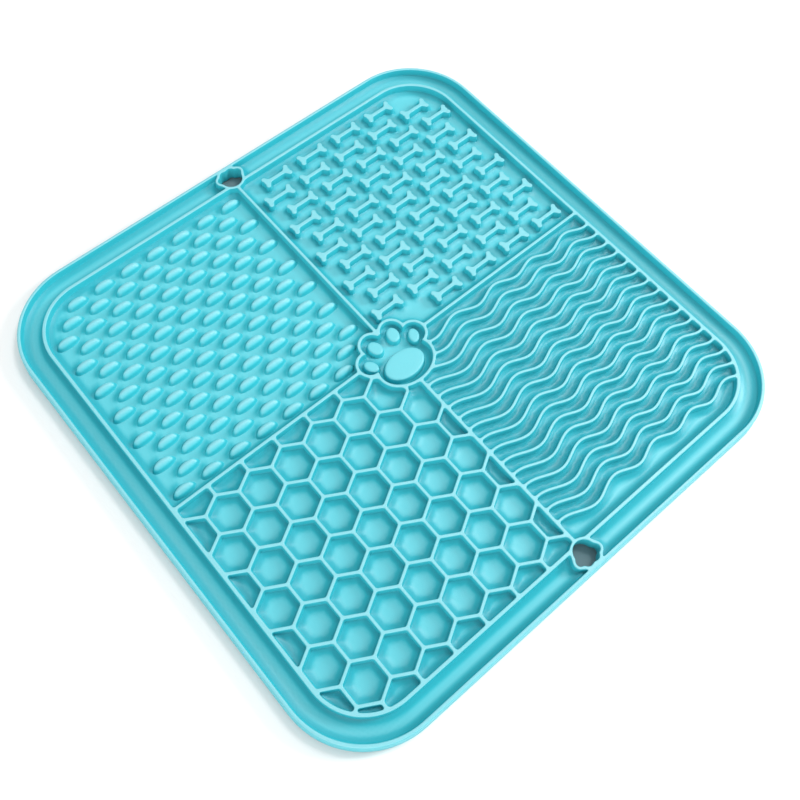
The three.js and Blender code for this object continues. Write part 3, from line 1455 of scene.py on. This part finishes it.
@dataclass(frozen=True)
class Silicone:
    """Soft turquoise silicone with painted sheen on its tops, painted shade where its floor rises, and a fine
    matt grain.
    """

    base: Colour = (0.035, 0.475, 0.55)
    # painted sheen and highlight on the tops and the floor's middle
    pale: Colour = (0.215, 0.51, 0.565)
    # painted shade where the floor rises beside walls and bones and behind bumps
    deep: Colour = (0.006, 0.32, 0.39)
    roughness: float = 0.31
    bending: float = 1.41           # index of refraction
    gloss: float = 0.45
    scatter: float = 0.1
    scatter_reach: float = 0.0006   # in metres
    scatter_colour: Colour = (0.4, 1.0, 1.0)
    grain_strength: float = 0.12
    grain_depth: float = 0.0002     # in metres
    name: str = "silicone_turquoise"

    def material(self) -> bpy.types.Material:
        """Make the shader.

        Returns:
            The material.
        """
        material = bpy.data.materials.new(self.name)
        material.use_nodes = True
        bench = NodeBench(material.node_tree)
        painted_light = bench.tree.nodes.new("ShaderNodeGroup")
        painted_light.node_tree = PaintedLightAndGrain().group()
        bench.feed(painted_light, {
            "Place": bench.add("ShaderNodeTexCoord", {}).outputs["Object"],
            "Facing": bench.add("ShaderNodeNewGeometry", {}).outputs["Normal"],
            "Base": (*self.base, 1.0),
            "Pale": (*self.pale, 1.0),
            "Deep": (*self.deep, 1.0),
            "Roughness": self.roughness,
        })
        grain = bench.add("ShaderNodeBump", {
            "Height": painted_light.outputs["Height"],
            "Strength": self.grain_strength,
            "Distance": self.grain_depth,
        })
        bench.feed(bench.tree.nodes["Principled BSDF"], {
            "Base Color": painted_light.outputs["Colour"],
            "Roughness": painted_light.outputs["Roughness"],
            "Normal": grain.outputs["Normal"],
            "IOR": self.bending,
            "Specular IOR Level": self.gloss,
            "Subsurface Weight": self.scatter,
            "Subsurface Scale": self.scatter_reach,
            "Subsurface Radius": self.scatter_colour,
        })
        return material


@dataclass(frozen=True)
class FloorPaint:
    """The pale floor's paint, with a painted shadow where the mat covers it."""

    bare: Colour = (0.77, 0.785, 0.785)
    # painted shadow under the mat, seen through the hanging holes
    painted_shadow: Colour = (0.17, 0.24, 0.26)
    painted_shadow_to: tuple[float, float] = (0.0985, 0.0990)      # from the mat's middle, in metres
    roughness: float = 0.8
    name: str = "pale_floor"

    def group(self) -> bpy.types.NodeTree:
        """Build the node group that paints the shadow on the floor under the mat.

        Returns:
            The group, with Place, Open and Covered in, and Colour out.
        """
        bench = NodeBench.group(
            "painted_floor_shadow",
            {"Place": Socket.VECTOR, "Open": Socket.COLOUR, "PaintedShadow": Socket.COLOUR},
            {"Colour": Socket.COLOUR})
        given = bench.add("NodeGroupInput", {}).outputs
        middle = bench.add("ShaderNodeVectorMath", {0: given["Place"]})
        middle.operation = "LENGTH"
        beyond = bench.between(middle.outputs["Value"], *self.painted_shadow_to)
        bench.add("NodeGroupOutput", {"Colour": bench.blend(beyond, given["PaintedShadow"], given["Open"])})
        return bench.tree

    def material(self) -> bpy.types.Material:
        """Make the shader.

        Returns:
            The material.
        """
        material = bpy.data.materials.new(self.name)
        material.use_nodes = True
        bench = NodeBench(material.node_tree)
        paint = bench.tree.nodes.new("ShaderNodeGroup")
        paint.node_tree = self.group()
        bench.feed(paint, {
            "Place": bench.add("ShaderNodeTexCoord", {}).outputs["Object"],
            "Open": (*self.bare, 1.0),
            "PaintedShadow": (*self.painted_shadow, 1.0),
        })
        bench.feed(bench.tree.nodes["Principled BSDF"], {
            "Base Color": paint.outputs["Colour"],
            "Roughness": self.roughness,
        })
        return material


@dataclass
class LickMat:
    """The whole mat as one moulded skin."""

    tray: Tray = field(default_factory=Tray)
    honeycomb: Honeycomb = field(default_factory=Honeycomb)
    waves: Waves = field(default_factory=Waves)
    paw: Paw = field(default_factory=Paw)
    bones: Bones = field(default_factory=Bones)
    bumps: Bumps = field(default_factory=Bumps)
    holes: tuple[HangingHole, ...] = (HangingHole(Side.BACK, 0.4), HangingHole(Side.FRONT, 0.2))
    blend: float = 0.9
    paw_blend: float = 0.7
    wall_foot: float = 0.33     # how far outside a wall the floor begins
    bone_foot: float = 0.3      # and outside a bone

    def distances(self, x: Grid, y: Grid) -> Grid:
        """Measure the distance to everything that stands up to the height of the rim.

        Args:
            x: Places along X, in mm.
            y: Places along Y, in mm.

        Returns:
            The distance, negative inside a wall.
        """
        field_edge = self.tray.field(x, y)
        paw = self.paw.region(x, y)
        cells = np.maximum.reduce([self.honeycomb.walls(x, y), x, y, field_edge])
        ridges = np.maximum.reduce([self.waves.walls(x, y), -x, y, field_edge])
        walls = soft_union_of((self.tray.walls(x, y), cells, ridges), self.blend)
        walls = soft_union(np.maximum(walls, -paw), np.abs(paw) - self.paw.wall / 2.0, self.paw_blend)
        for hole in self.holes:
            walls = hole.add_to(walls, x, y)
        return walls

    def ground(self, area: DistanceMap, walls: Grid) -> Ground:
        """Work out the floor, which rises towards walls and bones and behind the bumps.

        Args:
            area: The map that the distances lie on.
            walls: Distance to the walls.

        Returns:
            The floor.
        """
        obstacles = soft_union_of(
            (walls, *(relief.distances(area) + relief.hollow_less for relief in (self.bones, self.bumps))),
            self.blend)
        return Ground(area, obstacles, self.tray.floor, self.tray.hollow_rise, self.tray.hollow_reach)

    def build(self, material: bpy.types.Material) -> bpy.types.Object:
        """Make the skin.

        Args:
            material: The silicone.

        Returns:
            The mat.
        """
        tray = self.tray
        area = DistanceMap()
        walls = self.distances(*area.grid())
        loops = area.loops(walls)
        ground = self.ground(area, walls)
        skin = Skin()
        profile = Profile(tray.height, tray.floor_beside(self.wall_foot))
        top_rings = []
        floor_rings = []
        under_rings = []
        for loop in loops:
            if any(hole.holds(loop) for hole in self.holes):
                top, bottom = skin.wall(loop, profile.through_rows())
                under_rings.append(bottom)
            else:
                top, bottom = skin.wall(loop, profile.rows(), ground)
                floor_rings.append(bottom)
            top_rings.append(top)
        top, bottom = skin.wall(tray.outline(), tray.outer_rows())
        skin.cap([top, *top_rings], tray.height, Face.UPWARD)
        skin.cap([bottom, *under_rings], 0.0, Face.DOWNWARD)
        beside_bones = tray.floor_beside(self.bones.hollow_less + self.bone_foot)
        floor_rings += self.bones.build(skin, beside_bones, ground)
        floor_rings += self.bumps.build(skin, tray.floor, ground)
        floor_rings += self.paw.build(skin, tray.floor, ground)
        skin.spread(floor_rings, ground, tray.rim_inner)
        LOG.info("outlines: %d, holes: %d", len(loops), len(under_rings))
        return skin.build("lick_mat", material)


@dataclass(frozen=True)
class Lamp:
    """A soft square lamp that looks at the mat."""

    name: str
    place: tuple[float, float, float]   # in metres
    side: float                         # in metres
    power: float                        # in watts

    def hang(self) -> None:
        """Add it to the scene."""
        data = bpy.data.lights.new(self.name, "AREA")
        data.size = self.side
        data.energy = self.power
        lamp = bpy.data.objects.new(self.name, data)
        lamp.location = self.place
        lamp.rotation_euler = (-Vector(self.place)).to_track_quat("-Z", "Y").to_euler()
        bpy.context.scene.collection.objects.link(lamp)


@dataclass
class Studio:
    """Pale floor, soft daylight and the camera at the photograph's angle."""

    position: tuple[float, float, float] = (-97.54, -105.02, 276.29)    # of the camera, in mm
    right: tuple[float, float, float] = (0.759249, -0.650012, 0.032018)
    down: tuple[float, float, float] = (-0.581406, -0.699576, -0.415405)
    ahead: tuple[float, float, float] = (0.292417, 0.296780, -0.909073)
    lens: float = 39.99
    sensor: float = 36.0
    near: float = 0.01          # the camera sees nothing closer, in metres
    floor_reach: float = 4.0    # in metres
    floor_drop: float = 0.0002  # keeps the floor clear of the underside, in metres
    sky_strength: float = 0.56
    lamps: tuple[Lamp, ...] = (
        Lamp("window_above", (0.45, 0.25, 1.3), 1.1, 6.0),
        Lamp("window_right", (0.69, -0.04, 1.29), 0.28, 6.0),
        Lamp("window_low", (1.09, -0.48, 0.72), 0.35, 12.5),
        Lamp("fill_front", (-0.98, -0.8, 0.5), 1.0, 12.5),
    )

    def camera(self) -> None:
        """Create the camera and make it the scene's."""
        data = bpy.data.cameras.new("camera")
        data.lens = self.lens
        data.sensor_width = self.sensor
        data.clip_start = self.near
        camera = bpy.data.objects.new("camera", data)
        turn = Matrix((self.right, -Vector(self.down), -Vector(self.ahead))).transposed()
        camera.matrix_world = Matrix.Translation(Vector(self.position) * MM) @ turn.to_4x4()
        bpy.context.scene.collection.objects.link(camera)
        bpy.context.scene.camera = camera

    def floor(self) -> None:
        """Lay the pale floor under the mat."""
        mesh = bpy.data.meshes.new("floor")
        reach = self.floor_reach
        corners = [(-reach, -reach, 0.0), (reach, -reach, 0.0), (reach, reach, 0.0), (-reach, reach, 0.0)]
        mesh.from_pydata(corners, [], [(0, 1, 2, 3)])
        mesh.materials.append(FloorPaint().material())
        floor = bpy.data.objects.new("floor", mesh)
        floor.location.z = -self.floor_drop
        bpy.context.scene.collection.objects.link(floor)

    def daylight(self) -> None:
        """Light the scene from a bright sky, three soft windows and a fill lamp at the front."""
        world = bpy.data.worlds.new("daylight")
        world.use_nodes = True
        background = world.node_tree.nodes["Background"]
        background.inputs["Color"].default_value = (1.0, 1.0, 1.0, 1.0)
        background.inputs["Strength"].default_value = self.sky_strength
        bpy.context.scene.world = world
        bpy.context.scene.view_settings.view_transform = "Standard"
        for lamp in self.lamps:
            lamp.hang()

    def build(self) -> None:
        """Set up everything that isn't the mat."""
        self.camera()
        self.floor()
        self.daylight()


def main() -> None:
    """Build the mat and its setting."""
    logging.basicConfig(level=logging.INFO, format="%(name)s: %(message)s")
    mat = LickMat().build(Silicone().material())
    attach(mat, "root")
    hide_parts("mat")
    LOG.info("lick_mat: %d points, %d faces", len(mat.data.vertices), len(mat.data.polygons))
    Studio().build()
    LOG.info("studio: floor, lamps and camera")


if __name__ == "__main__":
    main()
